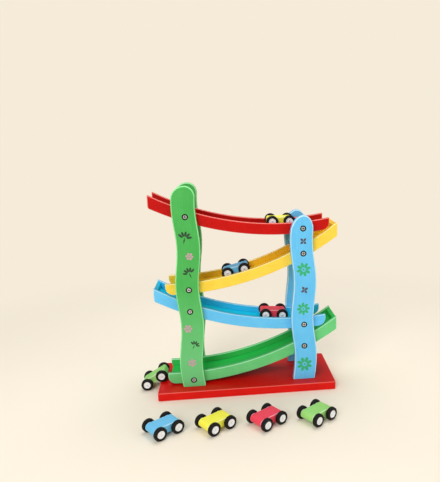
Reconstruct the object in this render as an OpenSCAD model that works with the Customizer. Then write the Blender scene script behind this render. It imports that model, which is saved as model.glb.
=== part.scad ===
// Click clack track toy: four curved wooden tracks between wavy posts, with eight small cars.
// X runs along the base, Y from front to back and Z upwards. The origin is the centre of the underside.

/* [Base board] */
// Length of the base board
base_l = 238; // [220:1:280]
// Depth of the base board, front to back
base_d = 100; // [84:1:140]
// Thickness of the base board
base_t = 11; // [8:0.5:12]
// Radius of the base board's upright corners
base_corner_r = 3; // [1:0.5:8]

/* [Posts] */
// Width of a post across its wavy sides
post_w = 30; // [24:0.5:34]
// Thickness of a post
post_t = 9; // [7:0.5:12]
// Distance of the left posts from the middle of the base
left_post_reach = 72; // [62:1:76]
// Distance of the right posts from the middle of the base
right_post_reach = 78.5; // [70:0.5:82]
// How far the left posts rise over the top track
left_rise = 31; // [14:0.5:50]
// How far the right posts rise over the top track
right_rise = 9.5; // [8:0.5:30]
// Height of the rounded top of a left post
left_dome_h = 15; // [8:0.5:18]
// Height of the rounded top of a right post
right_dome_h = 22; // [10:0.5:24]
// Length of one wave along a post's side
wave_len = 106; // [80:1:160]
// Sideways swing of the wave from its middle line
wave_swing = 2.2; // [0:0.1:3]
// Height of a leftward crest on the left posts
left_crest_z = 42; // [0:1:106]
// Height of a leftward crest on the right posts
right_crest_z = 97; // [0:1:106]

/* [Tracks] */
// Radius of the curve along the top edge of every rail
track_r = 370; // [330:5:450]
// Clear width between the two rails of a track
channel_w = 43; // [38:0.5:50]
// Thickness of a rail
rail_t = 5; // [4.5:0.25:7]
// Height of a rail, square to its curve
rail_h = 15; // [14:0.5:17]
// Depth of the bed's top below the rail's top edge
bed_drop = 8; // [7:0.25:9]
// Thickness of the bed
bed_t = 3.5; // [2.5:0.25:4]
// Depth of the groove in each rail that holds the bed
groove_d = 1.5; // [1:0.1:2]
// Radius of the rounded lower corner at a rail's low end
nose_r = 7; // [4:0.25:9]
// Radius of the rounded lower corner at a rail's high end
heel_r = 3; // [1:0.25:5]
// Length of the drop opening between a bed's low end and the rail's end
drop_gap = 34; // [32:0.5:36]
// How far the lowest bed stops short of its rails' low ends
lip_inset = 2.5; // [2:0.25:4]
// Thickness of the end stop across a raised end
stop_t = 4; // [3:0.25:5]
// Depth of an end stop's top below the rail's top edge
stop_drop = 2; // [1:0.25:3.5]
// Gap between a rail's low end and the rail of the track below
nest_gap = 1.2; // [0.6:0.1:4]
// Gap between the lowest track and the base board
green_lift = 1.5; // [0.6:0.1:6]

/* [Track ends] */
// Distance of the red and blue tracks' left ends from the middle
left_reach = 118.5; // [116:0.5:122]
// Distance of the yellow track's right end from the middle
yellow_right_reach = 126; // [124:0.5:129]
// Distance of the green track's right end from the middle
green_right_reach = 125; // [120:0.5:127]
// Distance of the red track's low right end from the middle
red_low_reach = 115; // [112:0.5:116]
// Distance of the yellow track's low left end from the middle
yellow_low_reach = 103; // [101:0.5:105]
// Distance of the blue track's low right end from the middle
blue_low_reach = 109.5; // [107:0.5:111]
// Distance of the green track's low left end from the base's left edge
green_low_inset = 12.5; // [10.5:0.5:15]
// Fall of the red track from end to end
red_fall = 36.5; // [34:0.5:50]
// Fall of the yellow track from end to end
yellow_fall = 74; // [66:0.5:78]
// Fall of the blue track from end to end
blue_fall = 47.5; // [42:0.5:56]
// Fall of the green track from end to end
green_fall = 68; // [66:0.5:76]

/* [Screws] */
// Radius of a screw's shank
screw_r = 1.5; // [1.2:0.1:1.8]
// Radius of a screw's head
screw_head_r = 2.8; // [2.4:0.1:3.4]
// Height of a screw's head
screw_head_h = 1.6; // [1.2:0.1:2.2]
// How far a screw's head narrows towards its face
screw_head_bevel = 0.5; // [0.3:0.1:0.8]
// Depth of the recess round a screw's head in a post
recess_d = 1.5; // [1:0.1:2]
// Depth that a post screw bites into its rail
rail_bite = 3; // [2:0.25:3]
// Depth that a base screw bites into its post
post_bite = 14; // [8:1:18]
// Depth of the recess round a screw's head in the base
base_recess_d = 3; // [2.5:0.25:4]
// Distance between the two base screws of one post
base_screw_pitch = 16; // [12:0.5:16]
// Width of one arm of the cross in a screw's head
cross_w = 0.8; // [0.6:0.1:1]
// Length of the cross in a screw's head
cross_l = 3.4; // [2.6:0.1:3.8]
// Depth of the cross in a screw's head
cross_d = 0.9; // [0.5:0.1:1]

/* [Cars] */
// Distance between a car's axles
wheelbase = 23; // [21.5:0.25:24.5]
// Radius of a tyre
tyre_r = 8; // [7.5:0.1:8.4]
// Width of a tyre
tyre_w = 5; // [4:0.25:5.5]
// Radius of a tyre's rounded shoulders
tyre_shoulder_r = 1.2; // [0.5:0.1:1.8]
// Radius of a hub
hub_r = 4.6; // [3.8:0.1:5.2]
// Radius of the boss in the middle of a hub
hub_boss_r = 1.9; // [1.6:0.1:2.2]
// Width of a hub's outer rim
hub_rim_w = 0.8; // [0.5:0.1:1.2]
// Depth of the dish in a hub's face
hub_dish_d = 0.9; // [0.4:0.1:1.5]
// Radius of an axle
axle_r = 1; // [0.8:0.05:1.25]
// Length of a car's body
car_l = 36; // [34:0.5:38]
// Width of a car's body
car_w = 20; // [17:0.5:21]
// Height of a car's body
car_h = 10; // [8.5:0.25:10.5]
// Depth of a car's underside below its axles
car_belly_d = 4.5; // [3.5:0.25:5]
// Radius of a car body's top corner at the tail
car_tail_r = 3; // [1:0.25:4]
// Radius of a car body's lower corner at the tail
car_hem_r = 1.5; // [0.5:0.25:3]
// Gap between a car's body and each tyre
wheel_gap = 1; // [0.8:0.1:1.5]

/* [Where the cars stand] */
// Place of the car on the red track, measured from the middle to the right
red_track_car_x = 52; // [-60:1:54]
// Place of the car on the yellow track, measured from the middle to the left
yellow_track_car_reach = 10; // [-60:1:40]
// Place of the car on the blue track, measured from the middle to the right
blue_track_car_x = 40; // [-50:1:50]
// Distance of the leaving car's rear axle from the base's left edge
exit_inset = 2; // [1:0.25:2.5]
// Distance of the first parked car from the middle, towards the left
floor_row_reach = 104; // [100:1:120]
// Distance of the first parked car in front of the middle
floor_row_d = 126; // [115:1:150]
// Step between parked cars along the row
floor_pitch = 61; // [60:0.5:80]
// Step between parked cars towards the base
floor_step = 1.1; // [0:0.1:2.5]
// Turn of the parked cars from the row
floor_turn = 36; // [34:1:50]

/* [Clearances] */
// Gap round the bed in its groove
groove_gap = 0.1; // [0.05:0.01:0.2]
// Gap between an end stop and what it stands between
stop_gap = 0.1; // [0.05:0.01:0.2]
// Radial gap round a screw in its bore
screw_gap = 0.05; // [0.02:0.01:0.1]
// Gap round a screw's head in its recess
head_gap = 1.2; // [0.4:0.05:1.4]
// Radial gap of an axle in the car's body
axle_gap = 0.08; // [0.03:0.01:0.1]
// Radial gap between an axle and its hubs, and between hub and tyre
wheel_fit_gap = 0.03; // [0.02:0.01:0.08]
// Gap between a tyre and what it rolls on
roll_gap = 0.3; // [0.2:0.05:0.5]

/* [Hidden] */
overrun = 1;
arc_fn = 720;
round_fn = 48;
dome_steps = 14;
wave_steps = 34;
hub_spacer_share = 0.6;
// A rounded corner's circle stands this far proud of the two faces that it joins, so that they meet at clean edges
corner_proud = 0.02;

rail_outer_w = channel_w + 2 * rail_t;
post_y = rail_outer_w / 2 + post_t / 2;
bed_w = channel_w + 2 * (groove_d - groove_gap);
bed_r = track_r + bed_drop;
wheel_y = car_w / 2 + wheel_gap;
axle_reach = wheel_y + tyre_w - hub_dish_d / 2;
axle_track_r = bed_r - tyre_r - roll_gap;
car_track_r = sqrt(pow(axle_track_r, 2) - pow(wheelbase / 2, 2));
exit_axle_z = base_t + roll_gap + tyre_r;
exit_tilt = asin((exit_axle_z - tyre_r) / wheelbase);

// A track is [high end x, low end x, fall]; its travel is +1 to the right and -1 to the left
RED = [-left_reach, red_low_reach, red_fall];
YELLOW = [yellow_right_reach, -yellow_low_reach, yellow_fall];
BLUE = [-left_reach, blue_low_reach, blue_fall];
GREEN = [green_right_reach, green_low_inset - base_l / 2, green_fall];

function travel(track) = sign(track[1] - track[0]);
function chord(track) = norm([track[0] - track[1], track[2]]);
function apothem(track) = sqrt(pow(track_r, 2) - pow(chord(track) / 2, 2));
function centre_x(track) = (track[0] + track[1]) / 2 + travel(track) * track[2] / chord(track) * apothem(track);

// Drop of a circle of radius r below its own centre, at x from the centre of the curve
function sag(r, dx) = sqrt(pow(r, 2) - pow(dx, 2));

// A rounded lower corner of radius r: the x of its circle, and the circle's distance from the curve's centre
function corner_x(end_x, side, r) = end_x - side * (r - corner_proud);
function corner_reach(r) = track_r + rail_h - r + corner_proud;

// The green track's curve is set by its height over the base
function lowest_x(track) = min(max(centre_x(track), min(track[0], track[1])), max(track[0], track[1]));
function resting_z(track) =
    base_t + green_lift + sag(track_r + rail_h, lowest_x(track) - centre_x(track));

// Every other track's curve is set by the gap between its rounded nose and the track below
function nested_z(track, below, below_z) =
    let (x = corner_x(track[1], travel(track), nose_r))
        below_z - sag(track_r - nose_r - nest_gap, x - centre_x(below))
        + sag(corner_reach(nose_r), x - centre_x(track));

green_z = resting_z(GREEN);
blue_z = nested_z(BLUE, GREEN, green_z);
yellow_z = nested_z(YELLOW, BLUE, blue_z);
red_z = nested_z(RED, YELLOW, yellow_z);

left_top_z = red_z - sag(track_r, -left_post_reach - centre_x(RED)) + left_rise;
right_top_z = red_z - sag(track_r, right_post_reach - centre_x(RED)) + right_rise;

// Each entry is a track and the height of its curve's centre
TRACKS = [[RED, red_z], [YELLOW, yellow_z], [BLUE, blue_z], [GREEN, green_z]];
POST_XS = [-left_post_reach, right_post_reach];

TRACK_CARS = ["yellow_track_car", "blue_track_car", "red_track_car"];
FLOOR_CARS = ["blue_floor_car", "yellow_floor_car", "red_floor_car", "green_floor_car"];
EXIT_CAR = "green_exit_car";
CARS = concat(TRACK_CARS, [EXIT_CAR], FLOOR_CARS);
CAR_PARTS = ["body", "front_hubs", "front_tyres", "rear_hubs", "rear_tyres"];

// Stand a flat drawing of X and Z upright, from y to y + t
module upright(y, t) {
    translate([0, y + t, 0])
        rotate([90, 0, 0])
            linear_extrude(t)
                children();
}

// Run a child along the Y axis from y towards +Y
module along_y(y) {
    translate([0, y, 0])
        rotate([-90, 0, 0])
            children();
}

// A rectangle from [x0, z0] to [x1, z1] with a radius for each corner: low left, low right, top right, top left
module rounded_outline(x0, z0, x1, z1, r) {
    polygon([
        [x0 + r[0], z0], [x1 - r[1], z0],
        [x1, z0 + r[1]], [x1, z1 - r[2]],
        [x1 - r[2], z1], [x0 + r[3], z1],
        [x0, z1 - r[3]], [x0, z0 + r[0]]
    ]);
    translate([x0 + r[0], z0 + r[0]])
        circle(r = r[0], $fn = round_fn);
    translate([x1 - r[1], z0 + r[1]])
        circle(r = r[1], $fn = round_fn);
    translate([x1 - r[2], z1 - r[2]])
        circle(r = r[2], $fn = round_fn);
    translate([x0 + r[3], z1 - r[3]])
        circle(r = r[3], $fn = round_fn);
}

// The part of a ring round the track's centre between two uprights at xa and xb
module arc_strip(track, z, r_in, r_out, xa, xb) {
    intersection() {
        translate([centre_x(track), z])
            difference() {
                circle(r = r_out, $fn = arc_fn);
                circle(r = r_in, $fn = arc_fn);
            }
        translate([min(xa, xb), z - r_out - overrun])
            square([abs(xb - xa), r_out]);
    }
}

// What a rounded lower corner takes off: the wedge outside its circle, towards the end that faces side
module corner_waste(track, z, end_x, side, r) {
    x = corner_x(end_x, side, r);
    c = [x, z - sag(corner_reach(r), x - centre_x(track))];
    out = (c - [centre_x(track), z]) / corner_reach(r);
    reach = r + rail_h;
    difference() {
        polygon([c, c + reach * out, c + reach * out + [side * reach, 0], c + [side * reach, 0]]);
        translate(c)
            circle(r = r, $fn = round_fn);
    }
}

module rail_outline(track, z) {
    difference() {
        arc_strip(track, z, track_r, track_r + rail_h, track[0], track[1]);
        corner_waste(track, z, track[0], -travel(track), heel_r);
        corner_waste(track, z, track[1], travel(track), nose_r);
    }
}

function rail_mid_z(track, z, x) = z - sag(track_r + rail_h / 2, x - centre_x(track));

// A bed stops short of its low end, so that a car drops through, but the lowest one runs out almost to its end
function bed_end_x(track) = track[1] - travel(track) * (track == GREEN ? lip_inset : drop_gap);

// A rail lies against the posts on its outer side, and its inner side holds the bed in a groove
module rail(track, z, side) {
    y_in = side < 0 ? -channel_w / 2 - rail_t : channel_w / 2;
    y_groove = side < 0 ? -channel_w / 2 - groove_d : channel_w / 2 - overrun;
    difference() {
        upright(y_in, rail_t)
            rail_outline(track, z);
        upright(y_groove, groove_d + overrun)
            arc_strip(track, z, bed_r - groove_gap, bed_r + bed_t + groove_gap,
                track[0] - travel(track) * overrun, bed_end_x(track) + travel(track) * groove_gap);
        for (x = POST_XS)
            translate([x, 0, rail_mid_z(track, z, x)])
                along_y(side < 0 ? -rail_outer_w / 2 - overrun : rail_outer_w / 2 - rail_bite - screw_gap)
                    cylinder(r = screw_r + screw_gap, h = rail_bite + screw_gap + overrun, $fn = round_fn);
    }
}

// The bed is a thin curved board; the raised ends that catch a car have a stop across them
module bed(track, z, has_stop) {
    upright(-bed_w / 2, bed_w)
        arc_strip(track, z, bed_r, bed_r + bed_t, track[0], bed_end_x(track));
    if (has_stop)
        upright(-channel_w / 2 + stop_gap, channel_w - 2 * stop_gap)
            arc_strip(track, z, track_r + stop_drop, bed_r - stop_gap,
                track[0], track[0] + travel(track) * stop_t);
}

function wave_x(z, crest_z) = -wave_swing * cos(360 * (z - crest_z) / wave_len);

// One side of a post from its foot to the top of its dome; side is +1 for right and -1 for left
function post_side(side, x, top_z, dome_h, crest_z) = concat(
    [for (i = [0 : wave_steps - 1])
        let (z = base_t + (top_z - dome_h - base_t) * i / wave_steps)
            [x + wave_x(z, crest_z) + side * post_w / 2, z]],
    [for (i = [0 : dome_steps - 1])
        let (a = 90 * i / dome_steps, z = top_z - dome_h + dome_h * sin(a))
            [x + wave_x(z, crest_z) + side * post_w / 2 * cos(a), z]]
);

module post_outline(x, top_z, dome_h, crest_z) {
    right = post_side(1, x, top_z, dome_h, crest_z);
    left = post_side(-1, x, top_z, dome_h, crest_z);
    top = [[x + wave_x(top_z, crest_z), top_z]];
    polygon(concat(right, top, [for (i = [len(left) - 1 : -1 : 0]) left[i]]));
}

// A post stands on the base; each track's screw has a bore and a round recess in its outer face
module post(x, side, top_z, dome_h, crest_z) {
    outer_y = side * (post_y + post_t / 2);
    difference() {
        upright(side * post_y - post_t / 2, post_t)
            post_outline(x, top_z, dome_h, crest_z);
        for (t = TRACKS)
            translate([x, 0, rail_mid_z(t[0], t[1], x)]) {
                along_y(side * post_y - post_t / 2 - overrun)
                    cylinder(r = screw_r + screw_gap, h = post_t + 2 * overrun, $fn = round_fn);
                along_y(side < 0 ? outer_y - overrun : outer_y - recess_d)
                    cylinder(r = screw_head_r + head_gap, h = recess_d + overrun, $fn = round_fn);
            }
        for (dx = [-base_screw_pitch / 2, base_screw_pitch / 2])
            translate([x + dx, side * post_y, base_t - overrun])
                cylinder(r = screw_r + screw_gap, h = post_bite + screw_gap + overrun, $fn = round_fn);
    }
}

// The base is a plain board with screws let in from below
module base_board() {
    color("#D3170F")
        difference() {
            linear_extrude(base_t)
                rounded_outline(-base_l / 2, -base_d / 2, base_l / 2, base_d / 2,
                    [base_corner_r, base_corner_r, base_corner_r, base_corner_r]);
            for (x = POST_XS, dx = [-base_screw_pitch / 2, base_screw_pitch / 2], y = [-post_y, post_y])
                translate([x + dx, y, -overrun]) {
                    cylinder(r = screw_r + screw_gap, h = base_t + 2 * overrun, $fn = round_fn);
                    cylinder(r = screw_head_r + head_gap, h = base_recess_d + overrun, $fn = round_fn);
                }
        }
}

// A cross-head screw along +Z, with the underside of its head at zero and its tip at shank_l
module screw(shank_l) {
    cylinder(r = screw_r, h = shank_l, $fn = round_fn);
    translate([0, 0, -screw_head_h])
        difference() {
            cylinder(r1 = screw_head_r - screw_head_bevel, r2 = screw_head_r, h = screw_head_h, $fn = round_fn);
            for (turn = [0, 90])
                rotate(turn)
                    translate([-cross_l / 2, -cross_w / 2, -overrun])
                        cube([cross_l, cross_w, cross_d + overrun]);
        }
}

module post_screws(side) {
    seat_y = post_y + post_t / 2 - recess_d;
    color("silver")
        for (x = POST_XS, t = TRACKS)
            translate([x, side * seat_y, rail_mid_z(t[0], t[1], x)])
                rotate([side * 90, 0, 0])
                    screw(post_t - recess_d + rail_bite);
}

module base_screws() {
    color("silver")
        for (x = POST_XS, dx = [-base_screw_pitch / 2, base_screw_pitch / 2], y = [-post_y, post_y])
            translate([x + dx, y, base_recess_d])
                screw(base_t - base_recess_d + post_bite);
}

// A car lies along X with its nose towards +X and its origin midway between the axles
module car_body() {
    nose = car_h / 2;
    difference() {
        upright(-car_w / 2, car_w)
            rounded_outline(-car_l / 2, -car_belly_d, car_l / 2, car_h - car_belly_d,
                [car_hem_r, nose, nose, car_tail_r]);
        for (x = [-wheelbase / 2, wheelbase / 2])
            translate([x, 0, 0])
                along_y(-car_w / 2 - overrun)
                    cylinder(r = axle_r + axle_gap, h = car_w + 2 * overrun, $fn = round_fn);
    }
}

// One hub, turned round Z, with its inner face at zero and its dished face outwards
module hub() {
    bore = axle_r + wheel_fit_gap;
    spacer = hub_spacer_share * wheel_gap;
    rim = hub_r - hub_rim_w;
    rotate_extrude($fn = round_fn)
        polygon([
            [bore, -spacer], [hub_boss_r, -spacer], [hub_boss_r, 0], [hub_r, 0],
            [hub_r, tyre_w], [rim, tyre_w], [rim, tyre_w - hub_dish_d],
            [hub_boss_r, tyre_w - hub_dish_d], [hub_boss_r, tyre_w], [bore, tyre_w]
        ]);
}

module tyre() {
    r = tyre_shoulder_r;
    rotate_extrude($fn = round_fn)
        rounded_outline(hub_r + wheel_fit_gap, 0, tyre_r, tyre_w, [r / 2, r, r, r / 2]);
}

// Put a child on both ends of an axle, facing outwards
module both_ends() {
    for (side = [-1, 1])
        translate([0, side * wheel_y, 0])
            rotate([-side * 90, 0, 0])
                children();
}

module axle_and_hubs() {
    along_y(-axle_reach)
        cylinder(r = axle_r, h = 2 * axle_reach, $fn = round_fn);
    both_ends()
        hub();
}

module car_part(part) {
    if (part == "body")
        car_body();
    if (part == "front_hubs")
        translate([wheelbase / 2, 0, 0])
            axle_and_hubs();
    if (part == "front_tyres")
        translate([wheelbase / 2, 0, 0])
            both_ends()
                tyre();
    if (part == "rear_hubs")
        translate([-wheelbase / 2, 0, 0])
            axle_and_hubs();
    if (part == "rear_tyres")
        translate([-wheelbase / 2, 0, 0])
            both_ends()
                tyre();
}

// Set a car on a track's bed with its middle at x and its nose downhill
module on_track(t, x) {
    cx = centre_x(t[0]);
    translate([cx, 0, t[1]])
        rotate([0, -asin((x - cx) / car_track_r), 0])
            translate([0, 0, -car_track_r])
                rotate([0, 0, travel(t[0]) > 0 ? 0 : 180])
                    children();
}

// Set a car nose down off the base's left edge: rear wheels on the base, front wheels on the floor
module on_edge() {
    translate([-base_l / 2 + exit_inset, 0, exit_axle_z])
        rotate([0, -exit_tilt, 0])
            rotate([0, 0, 180])
                translate([wheelbase / 2, 0, 0])
                    children();
}

// Park a car in the row in front of the base
module on_floor(i) {
    translate([-floor_row_reach + i * floor_pitch, -floor_row_d + i * floor_step, tyre_r])
        rotate([0, 0, 180 + floor_turn])
            children();
}

function is_hub(part) = part == "front_hubs" || part == "rear_hubs";
function car_paint(car) =
    car[0] == "y" ? "#F4EC4D" :
    car[0] == "b" ? "#62B8E4" :
    car[0] == "r" ? "#EE4A5C" : "#98D175";
function part_colour(car, part) =
    part == "body" ? car_paint(car) :
    is_hub(part) ? "#F2F2F2" : "#0E0A08";

module car_node(car, part) {
    track_places = [red_track_car_x, -yellow_track_car_reach, blue_track_car_x];
    color(part_colour(car, part)) {
        for (i = [0 : len(TRACK_CARS) - 1])
            if (car == TRACK_CARS[i])
                on_track(TRACKS[i], track_places[i])
                    car_part(part);
        for (i = [0 : len(FLOOR_CARS) - 1])
            if (car == FLOOR_CARS[i])
                on_floor(i)
                    car_part(part);
        if (car == EXIT_CAR)
            on_edge()
                car_part(part);
    }
}

module left_post(side) {
    color("#4DB356")
        post(-left_post_reach, side, left_top_z, left_dome_h, left_crest_z);
}

module right_post(side) {
    color("#55BFF5")
        post(right_post_reach, side, right_top_z, right_dome_h, right_crest_z);
}

module red_track(piece) {
    color("#D3170F")
        track_piece(RED, red_z, piece, false);
}

module yellow_track(piece) {
    color("#F7DA3E")
        track_piece(YELLOW, yellow_z, piece, true);
}

module blue_track(piece) {
    color("#5CC3F5")
        track_piece(BLUE, blue_z, piece, true);
}

module green_track(piece) {
    color("#6CC076")
        track_piece(GREEN, green_z, piece, true);
}

module track_piece(track, z, piece, has_stop) {
    if (piece == "front_rail")
        rail(track, z, -1);
    if (piece == "rear_rail")
        rail(track, z, 1);
    if (piece == "bed")
        bed(track, z, has_stop);
}

base_board();
left_post(-1);  // left_front_post
left_post(1);  // left_rear_post
right_post(-1);  // right_front_post
right_post(1);  // right_rear_post
red_track("front_rail");  // red_front_rail
red_track("rear_rail");  // red_rear_rail
red_track("bed");  // red_bed
yellow_track("front_rail");  // yellow_front_rail
yellow_track("rear_rail");  // yellow_rear_rail
yellow_track("bed");  // yellow_bed
blue_track("front_rail");  // blue_front_rail
blue_track("rear_rail");  // blue_rear_rail
blue_track("bed");  // blue_bed
green_track("front_rail");  // green_front_rail
green_track("rear_rail");  // green_rear_rail
green_track("bed");  // green_bed
post_screws(-1);  // front_post_screws
post_screws(1);  // rear_post_screws
base_screws();
for (car = CARS, part = CAR_PARTS)
    car_node(car, part);
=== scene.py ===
import math
import bmesh
import bpy
from mathutils import Matrix, Vector


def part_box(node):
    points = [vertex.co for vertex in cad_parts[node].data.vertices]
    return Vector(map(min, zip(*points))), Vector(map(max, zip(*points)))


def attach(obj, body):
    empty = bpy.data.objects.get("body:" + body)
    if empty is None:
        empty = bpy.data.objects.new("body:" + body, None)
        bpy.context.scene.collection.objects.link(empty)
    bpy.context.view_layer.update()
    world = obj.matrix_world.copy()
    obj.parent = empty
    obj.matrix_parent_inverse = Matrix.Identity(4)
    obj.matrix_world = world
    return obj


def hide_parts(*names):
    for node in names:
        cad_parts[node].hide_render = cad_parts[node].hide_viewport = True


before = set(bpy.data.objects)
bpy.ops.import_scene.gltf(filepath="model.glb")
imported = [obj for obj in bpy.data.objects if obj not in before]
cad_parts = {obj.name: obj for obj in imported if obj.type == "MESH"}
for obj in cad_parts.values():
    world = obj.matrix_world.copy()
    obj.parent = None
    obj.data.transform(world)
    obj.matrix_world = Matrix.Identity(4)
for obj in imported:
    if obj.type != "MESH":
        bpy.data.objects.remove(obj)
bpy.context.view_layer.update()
mm = 0.001  # the sizes below are in millimetres unless a note says otherwise, and Blender's are in metres
weldDistance = 0.002 * mm  # points of a finished mesh that lie closer than this are merged
seamDistance = 0.001 * mm  # the same, where a tree joins a face to its extrusion
sharpTurn = math.radians(40)  # an edge that turns more than this is eased
flatTurn = math.radians(0.2)  # faces that turn less than this are one flat face
creaseTurn = math.radians(35)  # an edge that turns more than this stays crisp on a turned piece


def linear(hexColour):
    # sRGB hex to the linear colour that the shaders expect
    values = [int(hexColour[i:i + 2], 16) / 255 for i in (1, 3, 5)]
    return tuple(v / 12.92 if v <= 0.04045 else ((v + 0.055) / 1.055) ** 2.4 for v in values) + (1,)


def addNode(tree, kind, inputs=None, **settings):
    # one node with its settings; a socket given as an input is linked, anything else is its value
    node = tree.nodes.new(kind)
    for name, value in settings.items():
        setattr(node, name, value)
    for key, value in (inputs or {}).items():
        if isinstance(value, bpy.types.NodeSocket):
            tree.links.new(value, node.inputs[key])
        else:
            node.inputs[key].default_value = value
    return node


def newTree(name, sockets):
    # a geometry tree whose named inputs come from a list of (name, kind of socket, value)
    tree = bpy.data.node_groups.new(name, "GeometryNodeTree")
    face = tree.interface
    face.new_socket("Geometry", in_out="INPUT", socket_type="NodeSocketGeometry")
    for label, kind, value in sockets:
        socket = face.new_socket(label, in_out="INPUT", socket_type="NodeSocket" + kind)
        if value is not None:
            socket.default_value = value
    face.new_socket("Geometry", in_out="OUTPUT", socket_type="NodeSocketGeometry")
    return tree, tree.nodes.new("NodeGroupInput").outputs, tree.nodes.new("NodeGroupOutput").inputs


def newObject(name, mesh):
    piece = bpy.data.objects.new(name, mesh)
    bpy.context.scene.collection.objects.link(piece)
    return piece


def applyTree(piece, tree, values):
    # the values go by the tree's own labels, and are set by each socket's identifier
    modifier = piece.modifiers.new(tree.name, "NODES")
    modifier.node_group = tree
    for item in tree.interface.items_tree:
        if item.name in values:
            modifier[item.identifier] = values[item.name]


def easeEdges(piece, width, steps=3, weighted=False):
    # round every sharp edge, or those with a weight of their own, and keep the flat faces flat
    bevel = piece.modifiers.new("easedEdges", "BEVEL")
    bevel.width = width * mm
    bevel.segments = steps
    bevel.limit_method = "WEIGHT" if weighted else "ANGLE"
    bevel.use_clamp_overlap = not weighted  # the short edges round a recess would clamp the whole bevel
    bevel.angle_limit = sharpTurn
    bevel.harden_normals = True
    bevel.material = 1  # the second slot marks the eased edges until they are baked
    piece.data.materials.append(None)
    bake(piece)
    mesh = piece.data
    # the eased faces are marked, and the enamel paints a highlight on them
    coat = mesh.attributes.new("paintedEdgeHighlight", "FLOAT", "FACE")
    for item, face in zip(coat.data, mesh.polygons):
        item.value = face.material_index
        face.material_index = 0
    mesh.materials.pop(index=1)
    return piece


def bake(piece):
    # the evaluated shape becomes the piece's own plain mesh
    graph = bpy.context.evaluated_depsgraph_get()
    mesh = bpy.data.meshes.new_from_object(piece.evaluated_get(graph), depsgraph=graph)
    piece.modifiers.clear()
    piece.data = mesh
    return piece


def mend(mesh, smooth=True):
    # close the seams and turn every face outwards
    form = bmesh.new()
    form.from_mesh(mesh)
    bmesh.ops.remove_doubles(form, verts=form.verts, dist=weldDistance)
    bmesh.ops.recalc_face_normals(form, faces=form.faces)
    for face in form.faces:
        face.smooth = smooth
    form.to_mesh(mesh)
    form.free()


def coatAll(mesh, finish):
    # one finish on every face
    mesh.materials.clear()
    mesh.materials.append(finish)
    for face in mesh.polygons:
        face.material_index = 0


def hand(piece, body, slot, *nodes):
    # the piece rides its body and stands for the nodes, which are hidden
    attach(piece, body)
    if nodes:
        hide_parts(*nodes)


# Camera: the photograph's own view, found from the corners of the base, the posts and the rails
cameraView = {
    "place": (-0.0246757, -0.6887601, 0.3267437),
    "yaw": -0.110337,
    "pitch": -0.199223,
    "roll": -0.01992,
    "pixelLens": 515.1087,  # focal length in pixels of a 440 x 482 picture
    "middle": (280.0, 249.7),  # where the view axis meets that picture
    "picture": (440, 482),
    "sensor": 36,
    "nearClip": 0.01,
}


def placeCamera(view):
    yaw, pitch, roll = view["yaw"], view["pitch"], view["roll"]
    forward = Vector((-math.sin(yaw) * math.cos(pitch), math.cos(yaw) * math.cos(pitch), math.sin(pitch)))
    level = Vector((math.cos(yaw), math.sin(yaw), 0))
    upright = level.cross(forward)
    right = math.cos(roll) * level + math.sin(roll) * upright
    up = math.cos(roll) * upright - math.sin(roll) * level
    lens = bpy.data.cameras.new("photoCamera")
    lens.sensor_width = view["sensor"]
    width, height = view["picture"]
    lens.lens = view["pixelLens"] / height * lens.sensor_width
    lens.shift_x = -(view["middle"][0] - width / 2) / height
    lens.shift_y = (view["middle"][1] - height / 2) / height
    lens.clip_start = view["nearClip"]
    camera = newObject("photoCamera", lens)
    turn = Matrix((right, up, -forward)).transposed()
    camera.matrix_world = Matrix.Translation(view["place"]) @ turn.to_4x4()
    bpy.context.scene.camera = camera


placeCamera(cameraView)
print("camera placed")


# Enamelled beech: sprayed satin paint that lets a little of the grain show as fine raised streaks,
# with a soft broad gloss, a painted highlight in a lighter tone along the eased edges that face up or aside,
# and painted shade in a deeper tone inside a track's channel and in a screw's recess
paintLook = {
    "streakWidth": 0.9,  # mm, drawn a little coarser than beech so that it shows
    "streakLength": 26,
    "cloudSize": 22,  # mm, slow change in the coat's depth
    "streakDepth": 0.025,  # mm
    "streakRelief": 0.6,
    "streakDetail": (3, 0.55),  # the noise's detail and roughness
    "cloudDetail": 2,
    "streakRange": (0.3, 0.7),  # the streaks' low and high tones
    "coatRange": (0.75, 1.3),  # streaks and clouds together, from the shade to the full colour
    "roughness": (0.34, 0.46),
    "edgeHighlightShare": 0.8,  # how far the eased edges go to their painted highlight
    "edgeLight": (-0.35, 0.1),  # the painted highlight grows on the eased edges from this normal height to that one, so that edges facing up or aside look lit from above
    "specular": 0.15,
    "coat": 0.06,
    "coatRoughness": 0.2,
    "recessShadeColour": "#1C120A",  # painted shade, nearly black, in a screw's recess
}
channelShadeZone = ("Y", 21.8, 21.4)  # mm from the middle, where a track's outer tone gives way to the painted shade inside its channel
lowZone = ("Z", 150, 50)  # mm above the floor, where the left posts grow paler


# colour and shade are the paint's own random tones, edge is a painted highlight for the upward eased edges,
# and second is the tone that the zone turns to
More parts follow.
